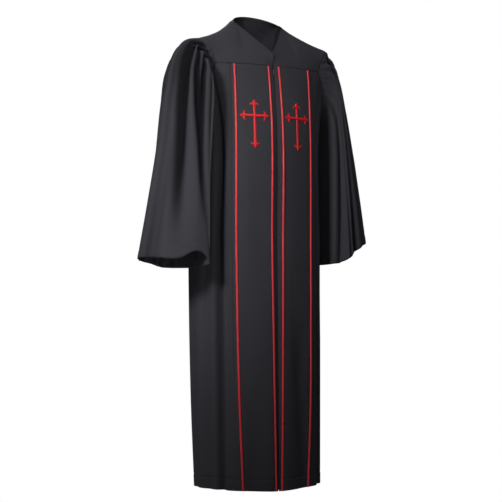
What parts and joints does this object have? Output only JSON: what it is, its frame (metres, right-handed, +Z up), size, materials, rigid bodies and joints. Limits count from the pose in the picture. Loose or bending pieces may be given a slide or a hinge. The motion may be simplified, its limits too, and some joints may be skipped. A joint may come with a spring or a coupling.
{
  "type": "clergy robe",
  "caption": "Black clergy robe as it hangs when worn: fitted yoke with a V neck, red piped front panels with embroidered crosses, concealed front zip, fluted back and full bell sleeves.",
  "frame": {"origin": "the middle of the neck opening, level with the tops of the shoulders, where the wearer's shoulders carry the robe", "axes": "+Z up, the wearer faces -Y, the wearer's left arm is on +X"},
  "size_m": [0.739, 0.2902, 1.422],
  "materials": {
    "black_cloth": "matt black woven cloth with a slight sheen",
    "red_satin": "red satin piping",
    "red_thread": "glossy red embroidery thread",
    "zip_black": "black zip tape",
    "grey_metal": "small dull metal slider"
  },
  "bodies": {
    "root": {"yoke_front_left": "black_cloth", "yoke_front_right": "black_cloth", "yoke_back": "black_cloth", "placket_left": "black_cloth", "placket_right": "black_cloth", "front_panel_left": "black_cloth", "front_panel_right": "black_cloth", "side_front_left": "black_cloth", "side_front_right": "black_cloth", "back": "black_cloth", "sleeve_left": "black_cloth", "sleeve_right": "black_cloth", "piping_left_inner": "red_satin", "piping_left_outer": "red_satin", "piping_right_inner": "red_satin", "piping_right_outer": "red_satin", "cross_left": "red_thread", "cross_right": "red_thread", "zip": "zip_black", "zip_slider": "grey_metal"}
  },
  "joints": []
}
